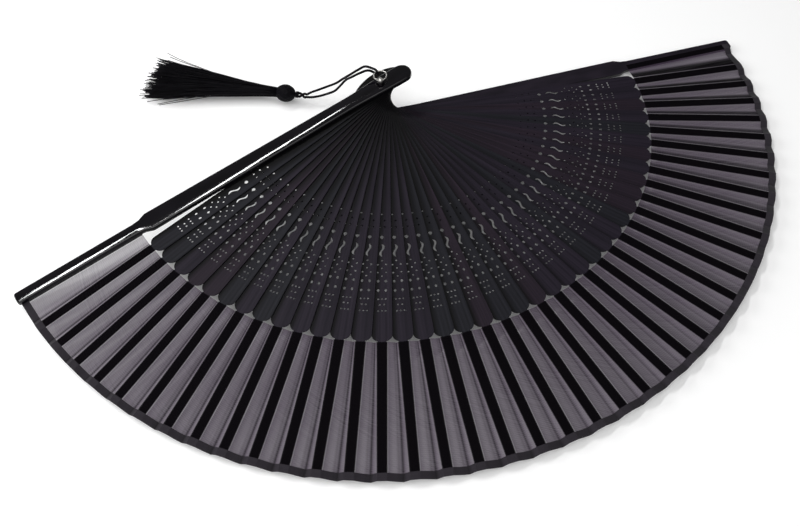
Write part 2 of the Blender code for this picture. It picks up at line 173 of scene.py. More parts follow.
# %% [markdown]
# ## Colours and nodes
# Colours are written as sRGB hex values, as a colour picker shows them, and one function makes them linear
# for Blender. Another starts a material. The rest add one node each, with a plain value or another node's
# output for each socket, so a node tree reads from top to bottom.

# %% helpers for materials
WAVE_PERIOD = 0.314


def linear(hex_colour):
    """An sRGB hex colour as linear red, green and blue, with full alpha."""
    shares = [int(hex_colour[i : i + 2], 16) / 255 for i in (1, 3, 5)]
    return [s / 12.92 if s <= 0.04045 else ((s + 0.055) / 1.055) ** 2.4 for s in shares] + [1.0]


def spaced(sockets):
    """Sockets under their real names, which have spaces."""
    return {name.replace("_", " "): value for name, value in sockets.items()}


def new_material(name, **sockets):
    """A material with a Principled shader whose even values are set on its own sockets."""
    made = bpy.data.materials.new(name)
    made.use_nodes = True
    shader = made.node_tree.nodes["Principled BSDF"]
    for socket, value in spaced(sockets).items():
        shader.inputs[socket].default_value = value
    return made, made.node_tree, shader


def set_links(shader, **sources):
    """Links outputs of nodes to the shader's sockets."""
    for socket, source in spaced(sources).items():
        shader.id_data.links.new(source, shader.inputs[socket])


def add_node(tree, kind, sockets=None, **settings):
    """Adds one shader node. Each socket is given a value or, by a link, the output of another node."""
    node = tree.nodes.new("ShaderNode" + kind)
    for name, value in settings.items():
        setattr(node, name, value)
    for socket, value in (sockets or {}).items():
        if isinstance(value, bpy.types.NodeSocket):
            tree.links.new(value, node.inputs[socket])
        else:
            node.inputs[socket].default_value = value
    return node


def add_math(operation, *terms, **settings):
    """The outcome of one sum, whose first term is a node's output."""
    tree = terms[0].id_data
    return add_node(tree, "Math", dict(enumerate(terms)), operation=operation, **settings).outputs[0]


def add_noise(place, scale=1.0, **sockets):
    """Noise between 0 and 1 at a place."""
    return add_node(place.id_data, "TexNoise", {"Vector": place, "Scale": scale, **sockets}).outputs["Fac"]


def add_wave(place, spacing, way, **sockets):
    """Bands between 0 and 1 across one way of a place, one in each spacing."""
    values = {"Vector": place, "Scale": WAVE_PERIOD / spacing, **spaced(sockets)}
    return add_node(place.id_data, "TexWave", values, bands_direction=way).outputs["Fac"]


def stretched(place, scale, shift=(0.0, 0.0, 0.0)):
    """A place scaled and shifted, so that a pattern there is drawn out one way."""
    sockets = {"Vector": place, "Scale": scale, "Location": shift}
    return add_node(place.id_data, "Mapping", sockets).outputs[0]


def ranged(value, low, high, start=0.0, end=1.0, **settings):
    """A value between start and end as one between low and high."""
    sockets = {"Value": value, "From Min": start, "From Max": end, "To Min": low, "To Max": high}
    return add_node(value.id_data, "MapRange", sockets, **settings).outputs["Result"]


def toned(share, *stops):
    """The colour of a ramp at a share. Its stops are pairs of place and hex colour."""
    ramp = add_node(share.id_data, "ValToRGB", {"Fac": share})
    elements = ramp.color_ramp.elements
    while len(elements) < len(stops):
        elements.new(1.0)
    for element, (place, colour) in zip(elements, stops):
        element.position = place
        element.color = linear(colour)
    return ramp.outputs["Color"]


def add_bump(height, strength, distance):
    """A surface direction that follows a height."""
    sockets = {"Height": height, "Strength": strength, "Distance": distance}
    return add_node(height.id_data, "Bump", sockets).outputs["Normal"]


# %% [markdown]
# ## Table and light
# The fan lies on a plain white table. A lit white floor is only pale grey in a render, so it also glows a
# little for the eye, for reflections and through the gauze. The glow doesn't light the fan, and the floor
# still takes its shadow. A window lamp stands low at the left, behind the fan, so its light runs under the
# high front guard and fades to the right. A large fill lamp in front and a dim white sky soften its
# shadows, and a long narrow strip overhead gives the lacquer its thin bright line. The window lamp isn't
# mirrored, so the lacquer stays black beside that line.

# %% table
FLOOR_SIZE = 6.0
FLOOR_GAP = 0.00005
FLOOR_GLOW = 0.07

board, tree, shader = new_material(
    "white_paper_table",
    Base_Color=linear("#fdfdfd"),
    Emission_Color=linear("#ffffff"),
    Roughness=0.9,
    Specular_IOR_Level=0.1,
)
seen = add_node(tree, "LightPath").outputs
eye_or_gloss = add_math("MAXIMUM", seen["Is Camera Ray"], seen["Is Glossy Ray"])
any_sight = add_math("MAXIMUM", eye_or_gloss, seen["Is Transmission Ray"])
set_links(shader, Emission_Strength=add_math("MULTIPLY", any_sight, FLOOR_GLOW))

side = FLOOR_SIZE / 2
floor_height = cad_low.z - FLOOR_GAP
corners = [(x, y, floor_height) for x, y in ((-side, -side), (side, -side), (side, side), (-side, side))]
floor_mesh = bpy.data.meshes.new("table")
floor_mesh.from_pydata(corners, [], [(0, 1, 2, 3)])
floor_mesh.materials.append(board)
floor = add_object("table", floor_mesh)
print("table at, mm:", round(1000 * floor_height, 2))

# %% lamps and world
WORLD_STRENGTH = 0.14
LAMP_AIM = Vector((0.0, -0.07, 0.0))
LAMPS = {
    "window_lamp": ((-0.75, 0.50, 0.42), (0.9, 0.6), 6.8),
    "fill_lamp": ((-0.30, -0.55, 0.95), (1.4, 1.4), 9.6),
    "strip_lamp": ((-0.24, 0.40, 0.92), (0.70, 0.03), 3.4),
}

world = bpy.data.worlds.new("studio")
bpy.context.scene.world = world
world.use_nodes = True
sky = world.node_tree.nodes["Background"]
sky.inputs["Color"].default_value = linear("#ffffff")
sky.inputs["Strength"].default_value = WORLD_STRENGTH
for name, (place, size, power) in LAMPS.items():
    light = bpy.data.lights.new(name, "AREA")
    light.shape = "RECTANGLE"
    light.size, light.size_y = size
    light.energy = power
    holder = add_object(name, light)
    holder.location = place
    holder.rotation_euler = (LAMP_AIM - holder.location).to_track_quat("-Z", "Y").to_euler()
    holder.visible_glossy = name != "window_lamp"
print("lamps:", list(LAMPS))

# %% [markdown]
# ## Tubes and pieces
# Cord, wire and loose threads are all tubes along a path. A curve object with a bevel would do, but a mesh
# tube can change its section on the way, which gives the twisted plies of a cord. The cross axes are
# carried along the path without twisting, so the tube doesn't wring itself in a bend.

# %% helpers for meshes


def mixed(start, end, share):
    """A value at a share of the way from start to end."""
    return start + share * (end - start)


def arc(middle, radius, start, end, steps):
    """Points on an arc, in radians, both ends included."""
    angles = [mixed(start, end, i / steps) for i in range(steps + 1)]
    return [(middle[0] + radius * math.cos(a), middle[1] + radius * math.sin(a)) for a in angles]


def circle(radius, sides):
    """Points on a circle about the origin."""
    return arc((0.0, 0.0), radius, 0.0, math.tau, sides)[:-1]


def ring_faces(rings, count, closed=False):
    """Faces between rings of count points each, with two end faces or with a row back to the first ring."""
    faces = []
    for i in range(rings if closed else rings - 1):
        low, high = i * count, (i + 1) % rings * count
        for j in range(count):
            n = (j + 1) % count
            faces.append((low + j, low + n, high + n, high + j))
    if not closed:
        faces.append(tuple(reversed(range(count))))
        faces.append(tuple((rings - 1) * count + j for j in range(count)))
    return faces


def swept(path, section):
    """Points and faces of a tube with closed ends. section(i) lists ring i's offsets on two cross axes."""
    points = []
    last = len(path) - 1
    side = None
    for i, place in enumerate(path):
        along = (path[min(i + 1, last)] - path[max(i - 1, 0)]).normalized()
        if side is None:
            side = along.orthogonal()
        side = (side - along * side.dot(along)).normalized()
        up = along.cross(side)
        ring = [place + a * side + b * up for a, b in section(i)]
        points += ring
    return points, ring_faces(len(path), len(ring))


def tube(path, radius, sides):
    """Points and faces of a plain round tube."""
    ring = circle(radius, sides)
    return swept(path, lambda i: ring)


def joined(tubes):
    """Several (points, faces) lists as one."""
    points, faces = [], []
    for more_points, more_faces in tubes:
        start = len(points)
        points += more_points
        faces += [tuple(start + i for i in face) for face in more_faces]
    return points, faces


def new_piece(name, points, faces, surface, slot, node):
    """A smooth mesh piece with its material, standing for the CAD node it replaces. Its slot is not used."""
    mesh = bpy.data.meshes.new(name)
    mesh.from_pydata(points, [], faces)
    mesh.shade_smooth()
    mesh.materials.append(surface)
    piece = add_object(name, mesh)
    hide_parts(node)
    return piece


# %% [markdown]
# ## Rayon thread
# Tassels are made of rayon: a bright, smooth filament that is spun, dyed black and twisted into cord. Black
# rayon is nearly black where it faces the eye and has a soft sheen along the threads. Single filaments are
# far too fine to show, so the tone changes on the scale of one thread, about 0.4 mm.

# %% material: rayon
THREAD_WIDTH = 0.0004

rayon, tree, shader = new_material(
    "twisted_black_rayon",
    Roughness=0.6,
    IOR=1.5,
    Specular_IOR_Level=0.09,
    Sheen_Weight=0.01,
    Sheen_Roughness=0.4,
)
spot = add_node(tree, "TexCoord").outputs["Object"]
strands = add_noise(spot, 1 / THREAD_WIDTH, Detail=2.0)
set_links(
    shader,
    Base_Color=toned(strands, (0.3, "#030205"), (0.75, "#0b0a0f")),
    Normal=add_bump(strands, strength=0.5, distance=THREAD_WIDTH / 8),
)

# %% [markdown]
# ## Tassel cord
# One thin cord is doubled through the wire ring: it leaves the tassel's neck, runs up over the guard, turns
# round the ring's wire and comes back to the neck beside itself. The route repeats the points of the solid,
# and a smooth curve is drawn through them. Three plies wind round each other along the cord, as lobes of
# the tube's section.

# %% where the tassel lies
RING_RADIUS = 0.0031
RING_WIRE_RADIUS = 0.0003
RING_SPLIT = math.radians(8)
RING_TILT = math.radians(3)
RING_BEARING = math.radians(65)
WASHER_THICKNESS = 0.0004
BALL_RADIUS = 0.0014
WASHER_HEIGHT = FRONT_HEIGHT + GUARD_THICKNESS / 2 + FOOT_GAP
BALL_HEIGHT = WASHER_HEIGHT + WASHER_THICKNESS + BALL_RADIUS
KNOB_RADIUS = 0.0045
TASSEL_BEARING = math.radians(143.9)
NECK_PLACE = Vector((-0.0306, 0.0308, 0.0))

tassel_rest = Matrix.Translation(NECK_PLACE + Vector((0, 0, KNOB_RADIUS)))
tassel_place = tassel_rest @ Matrix.Rotation(TASSEL_BEARING, 4, "Z")
ring_turn = Matrix.Rotation(RING_BEARING - math.pi / 2, 4, "Z") @ Matrix.Rotation(RING_TILT, 4, "X")
ring_place = AXIS_TURN @ Matrix.Translation((0, 0, BALL_HEIGHT)) @ ring_turn

# %% the cord's route
CORD_RADIUS = 0.00063
CORD_BIGHT_RADIUS = 0.0013
CORD_BEARING = math.radians(40)
TASSEL_GAP = 0.0003
CORD_SPACING = 0.0004
BIGHT_STEPS = 6
STRAND_SPREAD = 1.4


def smooth_path(points, spacing):
    """A smooth curve through the points, in steps of at most the spacing.

    At each point it heads between the runs before and after, more along the shorter one.
    """
    runs = [(b - a).length for a, b in zip(points, points[1:])]
    ways = [(b - a) / run for a, b, run in zip(points, points[1:], runs)]
    heads = [ways[0]]
    for i in range(1, len(runs)):
        heads.append((ways[i - 1] * runs[i] + ways[i] * runs[i - 1]) / (runs[i - 1] + runs[i]))
    heads.append(ways[-1])
    path = []
    for i, run in enumerate(runs):
        steps = math.ceil(run / spacing)
        for j in range(steps):
            t = j / steps
            place = points[i] * (1 + 2 * t) * (1 - t) ** 2 + points[i + 1] * t * t * (3 - 2 * t)
            path.append(place + run * t * (1 - t) * (heads[i] * (1 - t) - heads[i + 1] * t))
    return [*path, points[-1]]


out = Vector((-math.sin(CORD_BEARING), math.cos(CORD_BEARING), 0.0))
bight_place = ring_place @ (Vector((0, RING_RADIUS, 0)) + RING_RADIUS * out)
bight_out = ring_place.to_3x3() @ out
bight_up = ring_place.to_3x3() @ Vector((0, 0, 1))
bight = []
for i in range(BIGHT_STEPS + 1):
    angle = math.pi * i / BIGHT_STEPS
    bight.append(bight_place + CORD_BIGHT_RADIUS * (math.cos(angle) * bight_up - math.sin(angle) * bight_out))
upper_strand = [
    Vector((-0.0024, 0.0074, 0.0313)),
    Vector((-0.0046, 0.0094, 0.0316)),
    Vector((-0.0080, 0.0119, 0.0286)),
    Vector((-0.0109, 0.0154, 0.0238)),
    Vector((-0.0132, 0.0198, 0.0182)),
    Vector((-0.0154, 0.0235, 0.0132)),
    Vector((-0.0192, 0.0275, 0.0088)),
    Vector((-0.0237, 0.0297, 0.0064)),
    Vector((-0.0277, 0.0309, 0.0050)),
]
lower_strand = [
    Vector((-0.0031, 0.0086, 0.0290)),
    Vector((-0.0077, 0.0116, 0.0264)),
    Vector((-0.0105, 0.0139, 0.0234)),
    Vector((-0.0124, 0.0176, 0.0190)),
    Vector((-0.0144, 0.0207, 0.0134)),
    Vector((-0.0168, 0.0230, 0.0088)),
    Vector((-0.0201, 0.0260, 0.0054)),
    Vector((-0.0247, 0.0278, 0.0040)),
    Vector((-0.0279, 0.0287, 0.0040)),
]
strand_offset = CORD_RADIUS * STRAND_SPREAD
neck_start = tassel_place @ Vector((-TASSEL_GAP - CORD_RADIUS, 0, 0))
neck_side = tassel_place.to_3x3() @ Vector((0, strand_offset, 0))
cord_route = [neck_start - neck_side, *reversed(upper_strand), *bight, *lower_strand, neck_start + neck_side]
cord_path = smooth_path(cord_route, CORD_SPACING)
cord_reach = [0.0]
for a, b in zip(cord_path, cord_path[1:]):
    cord_reach.append(cord_reach[-1] + (b - a).length)
print("cord length, mm:", round(1000 * cord_reach[-1], 1))

# %% the cord
PLY_COUNT = 3
PLY_PITCH = 0.0032
PLY_DEPTH = 0.16
CORD_SIDES = 15


def ply_section(i):
    """One lobe for each ply. The lobes turn once in each pitch."""
    turn = math.tau * cord_reach[i] / PLY_PITCH
    ring = []
    for j in range(CORD_SIDES):
        angle = math.tau * j / CORD_SIDES
        lobe = abs(math.cos(PLY_COUNT / 2 * (angle - turn)))
        radius = CORD_RADIUS * (1 - PLY_DEPTH * (1 - lobe))
        ring.append((radius * math.cos(angle), radius * math.sin(angle)))
    return ring


cord = new_piece("doubled_tassel_cord", *swept(cord_path, ply_section), rayon, "silk_cord", "tassel_cord")
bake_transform(cord)

# %% [markdown]
# ## Tassel neck and knob
# Past the guard the two strands are twisted round each other, and a few turns of thread whip them to the
# knob. The knob is a ball knot: cords that wind round and cross, so its surface is a lattice of ridges. A
# ball of revolution whose radius swells along two families of spirals gives that lattice with few points.

# %% neck
NECK_LENGTH = 0.0046
NECK_TURNS = 1.0
NECK_STEPS = 40
NECK_SIDES = 10
WHIP_TURNS = 3
WHIP_RADIUS = 0.00155
WHIP_THREAD = 0.0002
WHIP_STEPS = 16
WHIP_SIDES = 6


def coil(radius, phase, turns, start, end, steps):
    """A path that winds round the tassel's middle line."""
    path = []
    for i in range(steps + 1):
        share = i / steps
        angle = phase + math.tau * turns * share
        x = mixed(start, end, share)
        path.append(tassel_place @ Vector((x, radius * math.sin(angle), radius * math.cos(angle))))
    return path


neck_tubes = []
for phase in (math.pi / 2, -math.pi / 2):
    start, end = -TASSEL_GAP - CORD_RADIUS, NECK_LENGTH + CORD_RADIUS
    strand = coil(strand_offset, phase, NECK_TURNS, start, end, NECK_STEPS)
    neck_tubes.append(tube(strand, CORD_RADIUS, NECK_SIDES))
whip_start = NECK_LENGTH - WHIP_TURNS * 2 * WHIP_THREAD
whip = coil(WHIP_RADIUS, math.pi / 2, -WHIP_TURNS, whip_start, NECK_LENGTH, WHIP_TURNS * WHIP_STEPS)
neck_tubes.append(tube(whip, WHIP_THREAD, WHIP_SIDES))
neck = new_piece("twisted_tassel_neck", *joined(neck_tubes), rayon, "silk_cord", "tassel_neck")
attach(neck, "back")

# %% knob
KNOB_LENGTH = 0.0105
KNOB_START = NECK_LENGTH + TASSEL_GAP
KNOB_RINGS = 40
KNOB_SIDES = 72
KNOB_POLE = 0.35
KNOB_RIDGE = 0.00060
KNOB_CORDS = 5
KNOB_CORD_TURN = 0.9


def knob_ring(i):
    """Ring i of the knob, with ridges where its cords pass."""
    angle = math.pi * (i + KNOB_POLE) / (KNOB_RINGS + 2 * KNOB_POLE)
    x = KNOB_START + KNOB_LENGTH / 2 * (1 - math.cos(angle))
    ring = []
    for j in range(KNOB_SIDES):
        turn = math.tau * j / KNOB_SIDES
        left = abs(math.cos(KNOB_CORDS * (turn + KNOB_CORD_TURN * angle)))
        right = abs(math.cos(KNOB_CORDS * (turn - KNOB_CORD_TURN * angle)))
        radius = (KNOB_RADIUS - KNOB_RIDGE * (1 - max(left, right))) * math.sin(angle)
        ring.append(tassel_place @ Vector((x, radius * math.cos(turn), radius * math.sin(turn))))
    return ring


knob_points = [point for i in range(KNOB_RINGS + 1) for point in knob_ring(i)]
knob_faces = ring_faces(KNOB_RINGS + 1, KNOB_SIDES)
knob = new_piece("ball_knot", knob_points, knob_faces, rayon, "silk_cord", "tassel_knob")
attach(knob, "back")
print("knob points:", len(knob_points))

# %% [markdown]
# ## Tassel skirt
# The skirt is a bundle of loose threads that leave the knob together and spread on the table, with ragged
# ends and a few strays. Hair particles would need a render setting and don't export, so each thread is a
# thin three-sided tube, all in one mesh. A seeded generator gives the same threads each time.

# %% skirt
SKIRT_LENGTH = 0.069
SKIRT_ROOT_RADIUS = 0.0024
SKIRT_END_HALF_WIDTH = 0.0150
SKIRT_END_HALF_HEIGHT = 0.0034
SKIRT_SPREAD_POWER = 1.25
SKIRT_OVERLAP = 0.0012
SKIRT_START = KNOB_START + KNOB_LENGTH - SKIRT_OVERLAP
THREAD_COUNT = 420
THREAD_LENGTHS = (0.86, 1.03, 0.98)
THREAD_FLARES = (0.92, 1.04)
THREAD_SWAYS = (0.0001, 0.0006)
THREAD_SWAY_ROUNDS = (1.0, 2.2)
THREAD_RADIUS = 0.00021
THREAD_SIDES = 3
THREAD_STEPS = 10
STRAY_COUNT = 30
STRAY_LENGTHS = (0.80, 1.0)
STRAY_FLARES = (1.0, 1.15)
STRAY_BEND = 0.010
STRAY_START = 0.55

dice = random.Random(41)


def skirt_thread(stray):
    """The path of one thread, from inside the knob to its loose end."""
    angle, spread = dice.uniform(0, math.tau), math.sqrt(dice.random())
    across, above = spread * math.cos(angle), spread * math.sin(angle)
    length = SKIRT_LENGTH * (dice.uniform(*STRAY_LENGTHS) if stray else dice.triangular(*THREAD_LENGTHS))
    flare = dice.uniform(*(STRAY_FLARES if stray else THREAD_FLARES))
    wave, phase = dice.uniform(*THREAD_SWAYS), dice.uniform(0, math.tau)
    rounds = dice.uniform(*THREAD_SWAY_ROUNDS)
    path = []
    for i in range(THREAD_STEPS + 1):
        share = i / THREAD_STEPS
        width = mixed(SKIRT_ROOT_RADIUS, SKIRT_END_HALF_WIDTH * flare, share**SKIRT_SPREAD_POWER)
        height = mixed(SKIRT_ROOT_RADIUS, SKIRT_END_HALF_HEIGHT, share)
        drop = (KNOB_RADIUS - SKIRT_END_HALF_HEIGHT) * share
        sway = wave * share * math.sin(phase + rounds * math.tau * share)
        if stray:
            sway += STRAY_BEND * max(0.0, share - STRAY_START) * math.copysign(1.0, across)
        z = max(above * height - drop, THREAD_RADIUS - KNOB_RADIUS)
        path.append(tassel_place @ Vector((SKIRT_START + share * length, across * width + sway, z)))
    return path


threads = [skirt_thread(number < STRAY_COUNT) for number in range(THREAD_COUNT)]
skirt_tubes = [tube(path, THREAD_RADIUS, THREAD_SIDES) for path in threads]
skirt = new_piece("loose_tassel_threads", *joined(skirt_tubes), rayon, "silk_cord", "tassel_skirt")
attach(skirt, "back")
print("skirt threads:", len(threads))

# %% [markdown]
# ## Black stained bamboo
# The ribs are split bamboo, planed thin, dyed black through and left matt. Dyed bamboo isn't one black: it
# keeps fine fibres along its length, and each strip takes the dye a little differently, some warmer and
# some greener. Real fibres are about 0.35 mm apart; they are drawn three times as wide here so that they
# show in the picture. Four dye lots share one node layout. A rib shows a soft dark line beside the next
# rib, which is shadow. The steps between these thin sticks are too low to throw a shadow that wide, so it
# is a painted shadow, darkened into the colour along that strip: fully from the middle of the fan to the
# front guard, and not at all near the back guard. A rib's object index is its number.

# %% sizes of a rib
RIB_TIP_RADIUS = 0.1329
RIB_HALF_WIDTH = 0.0045
RIB_WAIST_HALF_WIDTH = 0.0038
WAIST_RADIUS = 0.020
RIB_TIP_CORNER = 0.0034

to_neighbour = Matrix.Rotation(-RIB_STEP, 3, "Z")
edge_start = to_neighbour @ Vector((WAIST_RADIUS, RIB_WAIST_HALF_WIDTH, 0.0))
edge_end = to_neighbour @ Vector((RIB_TIP_RADIUS - RIB_TIP_CORNER, RIB_HALF_WIDTH, 0.0))
from_edge = Vector((0, 0, 1)).cross(edge_end - edge_start).normalized()
edge_at = from_edge.dot(edge_start)
print("next rib's edge, mm from the rivet:", round(1000 * edge_at, 2))

# %% material: bamboo
# The painted shadow beside the next rib: its width, its darkest tone, and the ribs where it starts and where
# it is full.
PAINTED_SHADOW_WIDTH = 0.0034
PAINTED_SHADOW_TONE = 0.03
FIRST_SHADOWED_RIB = 5
FULLY_SHADOWED_RIB = 22
FIBRE_WIDTH = 0.0010
FIBRE_LENGTH = 0.045
LOT_SHIFT = (3.1, 22.63, 0.0)
DYE_LOTS = (
    ("#15121a", "#231e28"),
    ("#171219", "#261e28"),
    ("#131318", "#1f1f25"),
    ("#16121b", "#241f29"),
)


def bamboo_lot_with_painted_shadow(name, dark, light, shift):
    """One dye lot of matt black bamboo, with a painted shadow beside the next rib."""
    made, tree, shader = new_material(name, IOR=1.5, Specular_IOR_Level=0.13)
    spot = add_node(tree, "TexCoord").outputs["Object"]
    grain = stretched(spot, (1 / FIBRE_LENGTH, 1 / FIBRE_WIDTH, 1 / FIBRE_WIDTH), shift)
    fibres = add_noise(grain, Detail=3.0, Roughness=0.6)
    tone = toned(fibres, (0.32, dark), (0.70, light))
    # A painted shadow: the colour darkens in a band just past the next rib's edge, most on ribs towards the
    # front guard.
    number = add_node(tree, "ObjectInfo").outputs["Object Index"]
    darkest_painted_shadow = ranged(number, 1.0, PAINTED_SHADOW_TONE, FIRST_SHADOWED_RIB, FULLY_SHADOWED_RIB)
    across = add_node(tree, "VectorMath", {0: spot, 1: from_edge}, operation="DOT_PRODUCT").outputs["Value"]
    painted_shadow_band = ranged(across, darkest_painted_shadow, 1.0, edge_at, edge_at + PAINTED_SHADOW_WIDTH, interpolation_type="SMOOTHSTEP")
    set_links(
        shader,
        Base_Color=add_node(tree, "VectorMath", {0: tone, 1: painted_shadow_band}, operation="MULTIPLY").outputs["Vector"],
        Roughness=ranged(fibres, 0.62, 0.48),
        Normal=add_bump(fibres, strength=0.35, distance=FIBRE_WIDTH / 20),
    )
    return made


bamboo = [
    bamboo_lot_with_painted_shadow(f"black_bamboo_painted_shadow_{lot + 1}", dark, light, [lot * step for step in LOT_SHIFT])
    for lot, (dark, light) in enumerate(DYE_LOTS)
]
print("dye lots:", len(bamboo))

# %% [markdown]
# ## Pierced ribs
# A rib is a thin plate with a round head, a waist, a rounded tip and a narrow slip under the leaf. Dots, a
# wave slot and a bud are punched through it. Cutting forty plates with booleans is slow, so one flat curve
# holds the outline and all the holes, and Blender fills and thickens it. A tiny bevel rounds the edges, and
# all ribs share the mesh.

# %% outlines
SLIP_HALF_WIDTH = 0.0019
SLIP_END_HALF_WIDTH = 0.0017
SLIP_INSET = 0.0012
SLIP_END = OUTER_RADIUS - SLIP_INSET
HEAD_LENGTH = 0.0172
HEAD_HALF_WIDTH = 0.0048
HOLE_RADIUS = 0.00145
HEAD_STEPS = 14
TIP_STEPS = 8


def rib_outline():
    """The rib's outline: slip, rounded tip, waist and head, as its upper half and the mirror of it."""
    corner = (RIB_TIP_RADIUS - RIB_TIP_CORNER, RIB_HALF_WIDTH - RIB_TIP_CORNER)
    leave = math.asin((SLIP_HALF_WIDTH - corner[1]) / RIB_TIP_CORNER)
    half = [(SLIP_END, SLIP_END_HALF_WIDTH)]
    half += arc(corner, RIB_TIP_CORNER, leave, math.pi / 2, TIP_STEPS)
    half.append((WAIST_RADIUS, RIB_WAIST_HALF_WIDTH))
    half += arc((HEAD_HALF_WIDTH - HEAD_LENGTH, 0.0), HEAD_HALF_WIDTH, math.pi / 2, math.pi, HEAD_STEPS)
    return half + [(x, -y) for x, y in reversed(half[:-1])]


print("rib outline points:", len(rib_outline()))

# %% punched pattern
DOT_RADIUS = 0.00044
PETAL_RADIUS = 0.00056
PETAL_STRETCH = 1.35
DOT_SIDES = 12
WAVE_RADIUS = 0.0882
WAVE_LENGTH = 0.0068
WAVE_WIDTH = 0.0010
WAVE_SWING = 0.0007
WAVE_STEPS = 14
WAVE_TAPER = 6
BUD_RADIUS = 0.0813
BUD_SIZE = 0.00085
BUD_POINT = 1.35
BUD_OPENING = math.pi / 3
BUD_STEPS = 12
DOT_ROWS = {
    0.1185: (-0.0016, 0.0, 0.0016),
    0.1155: (-0.0009, 0.0009),
    0.1127: (-0.0016, 0.0, 0.0016),
    0.1014: (0.0,),
    0.0995: (-0.0018, 0.0018),
    0.0974: (0.0,),
    0.0955: (-0.0018, 0.0018),
    0.0935: (0.0,),
    0.0761: (-0.0013, 0.0013),
    0.0726: (-0.0013, 0.0013),
    0.0690: (0.0,),
}
PETAL_ROWS = {0.1085: (-0.00165, 0.00165), 0.1039: (-0.00165, 0.00165)}


def dot(x, y, radius, stretch=1.0):
    """A round hole, or one stretched along the rib."""
    return [(x + stretch * a, y + b) for a, b in circle(radius, DOT_SIDES)]


def wave_slot():
    """One wave along the rib, pointed at both ends."""
    upper, lower = [], []
    for i in range(1, WAVE_STEPS):
        share = i / WAVE_STEPS
        x = WAVE_RADIUS + (share - 0.5) * WAVE_LENGTH
        y = WAVE_SWING * math.sin(math.tau * share)
        half = WAVE_WIDTH / 2 * math.sqrt(min(1.0, WAVE_TAPER * share, WAVE_TAPER * (1 - share)))
        upper.append((x, y + half))
        lower.append((x, y - half))
    ends = [(WAVE_RADIUS - WAVE_LENGTH / 2, 0.0), (WAVE_RADIUS + WAVE_LENGTH / 2, 0.0)]
    return [ends[0], *lower, ends[1], *reversed(upper)]


def bud():
    """A bud: round towards the rivet and drawn out to a blunt point towards the wave."""
    back = arc((BUD_RADIUS, 0.0), BUD_SIZE, BUD_OPENING, math.tau - BUD_OPENING, BUD_STEPS)
    return [*back, (BUD_RADIUS + BUD_POINT * BUD_SIZE, 0.0)]


holes = [dot(x, y, DOT_RADIUS) for x, row in DOT_ROWS.items() for y in row]
holes += [dot(x, y, PETAL_RADIUS, PETAL_STRETCH) for x, row in PETAL_ROWS.items() for y in row]
holes += [wave_slot(), bud(), dot(0.0, 0.0, HOLE_RADIUS)]
print("holes in each rib:", len(holes))

# %% ribs
RIB_EDGE = 0.00005
WELD_DISTANCE = 1e-7

plate = bpy.data.curves.new("pierced_rib", "CURVE")
plate.dimensions = "2D"
plate.fill_mode = "BOTH"
plate.extrude = RIB_THICKNESS / 2 - RIB_EDGE
plate.bevel_depth = RIB_EDGE
plate.bevel_resolution = 0
plate.offset = -RIB_EDGE
for outline in (rib_outline(), *holes):
    spline = plate.splines.new("POLY")
    spline.points.add(len(outline) - 1)
    for point, (x, y) in zip(spline.points, outline):
        point.co = (x, y, 0.0, 1.0)
    spline.use_cyclic_u = True
holder = add_object("rib_curve", plate)
rib_mesh = bpy.data.meshes.new_from_object(holder.evaluated_get(bpy.context.evaluated_depsgraph_get()))
bpy.data.objects.remove(holder)
welded = bmesh.new()
welded.from_mesh(rib_mesh)
bmesh.ops.remove_doubles(welded, verts=welded.verts, dist=WELD_DISTANCE)
welded.to_mesh(rib_mesh)
welded.free()
rib_mesh.materials.clear()
rib_mesh.materials.append(bamboo[0])

for k in range(1, FRONT):
    rib = add_object(f"pierced_rib_{k:02d}", rib_mesh)
    rib.matrix_world = stick_place(k)
    rib.pass_index = k
    rib.material_slots[0].link = "OBJECT"
    rib.material_slots[0].material = bamboo[dice.randrange(len(bamboo))]
    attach(rib, f"rib_{k:02d}")
    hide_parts(f"rib_{k:02d}")
print("rib faces:", len(rib_mesh.polygons))

# %% [markdown]
# ## Black lacquer
# The guards are thicker sticks, sanded round and finished in black lacquer, rubbed until it mirrors a lamp
# as a thin bright line. A hand-rubbed coat isn't optically flat: it waves over a centimetre or two, which
# breaks that line. The flat inner face, which lies on the ribs, is only stained and stays matt.

# %% material: lacquer
RUB_LENGTH = 0.014
RUB_WIDTH = 0.004
FACE_MARGIN = 0.0001
INNER_FACE = FACE_MARGIN - GUARD_THICKNESS / 2
BARE_ROUGHNESS = 0.55

lacquer, tree, shader = new_material("rubbed_black_lacquer", IOR=1.52)
spot = add_node(tree, "TexCoord").outputs["Object"]
depth = add_node(tree, "SeparateXYZ", {"Vector": spot}).outputs["Z"]
bare = add_math("LESS_THAN", depth, INNER_FACE)
waves = add_noise(stretched(spot, (1 / RUB_LENGTH, 1 / RUB_WIDTH, 1 / RUB_WIDTH)), Detail=1.5)
coat = toned(waves, (0.35, "#050407"), (0.70, "#0c0a0f"))
stain = toned(waves, (0.35, "#151219"), (0.70, "#201b24"))
colour = add_node(tree, "Mix", {"Factor": bare, "A": coat, "B": stain}, data_type="RGBA").outputs["Result"]
shine = ranged(waves, 0.03, 0.09)
set_links(
    shader,
    Base_Color=colour,
    Roughness=add_math("MULTIPLY_ADD", bare, BARE_ROUGHNESS, shine),
    Specular_IOR_Level=ranged(bare, 0.5, 0.12),
    Normal=add_bump(waves, strength=0.25, distance=RUB_WIDTH / 30),
)

# %% [markdown]
# ## Guards
# A guard follows the ribs' outline but is thicker, with a crowned outer face and rounded edges, and it
# narrows to a slip past the shoulder. It is lofted: the same section, scaled to the width and height at
# each station. Its hole for the rivet is cut at the end with one boolean.

